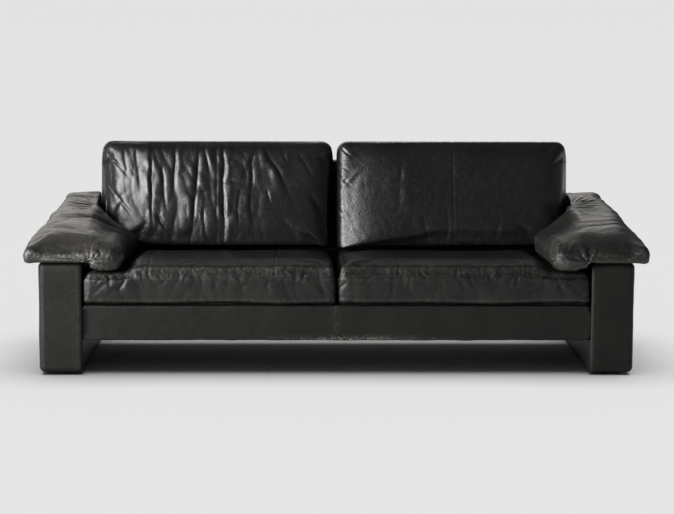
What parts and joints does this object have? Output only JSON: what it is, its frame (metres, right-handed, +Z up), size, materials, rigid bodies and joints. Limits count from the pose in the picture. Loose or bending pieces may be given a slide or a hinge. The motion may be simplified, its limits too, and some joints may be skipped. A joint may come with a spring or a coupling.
{
  "type": "leather sofa",
  "caption": "Low worn dark leather sofa with slab sides, soft rolled arm pads, and loose seat and back cushions on an open-underneath base.",
  "frame": {"origin": "on the floor under the middle of the whole sofa", "axes": "+X to the right as seen from the front, along the sofa's length; -Y towards the person facing it, so the front faces -Y; +Z up"},
  "size_m": [2.2, 0.8754, 0.785],
  "materials": {
    "cushion_leather": "near-black corrected leather, worn, satin, softly creased",
    "armrest_leather": "dark warm grey-brown leather, worn paler on its tops and crests",
    "frame_leather": "dark brown-black leather pulled tight over foam, scuffed at edges",
    "softwood": "planed softwood",
    "particle_board": "particle board, raw",
    "webbing": "woven elastic webbing",
    "black_cloth": "thin black non-woven cloth",
    "padding": "polyurethane foam",
    "steel": "zinc-plated steel",
    "glide_plastic": "black moulded plastic",
    "zip_plastic": "black coil zip"
  },
  "bodies": {
    "root": {"front_rail": "softwood", "rear_rail": "softwood", "centre_rail": "softwood", "left_rail": "softwood", "right_rail": "softwood", "left_seat_strap_1": "webbing", "left_seat_strap_2": "webbing", "left_seat_strap_3": "webbing", "left_seat_strap_4": "webbing", "right_seat_strap_1": "webbing", "right_seat_strap_2": "webbing", "right_seat_strap_3": "webbing", "right_seat_strap_4": "webbing", "seat_deck_cloth": "black_cloth", "dust_cover": "black_cloth", "front_apron": "frame_leather", "rear_apron": "frame_leather", "back_cover": "frame_leather", "back_bottom_rail": "softwood", "back_left_post": "softwood", "back_centre_post": "softwood", "back_right_post": "softwood", "back_top_rail": "softwood", "back_strap_1": "webbing", "back_strap_2": "webbing", "back_strap_3": "webbing", "back_strap_4": "webbing", "back_padding": "padding", "left_side_bolt_1": "steel", "left_side_bolt_2": "steel", "left_side_bolt_3": "steel", "right_side_bolt_1": "steel", "right_side_bolt_2": "steel", "right_side_bolt_3": "steel", "back_bolt_1": "steel", "back_bolt_2": "steel", "back_bolt_3": "steel", "left_side_cover": "frame_leather", "left_side_core": "particle_board", "left_side_base_board": "particle_board", "left_front_glide": "glide_plastic", "left_rear_glide": "glide_plastic", "left_seat_cushion": "cushion_leather", "left_seat_zip": "zip_plastic", "left_back_cushion": "cushion_leather", "left_back_zip": "zip_plastic", "left_arm_pad": "armrest_leather", "right_side_cover": "frame_leather", "right_side_core": "particle_board", "right_side_base_board": "particle_board", "right_front_glide": "glide_plastic", "right_rear_glide": "glide_plastic", "right_seat_cushion": "cushion_leather", "right_seat_zip": "zip_plastic", "right_back_cushion": "cushion_leather", "right_back_zip": "zip_plastic", "right_arm_pad": "armrest_leather"}
  },
  "joints": []
}
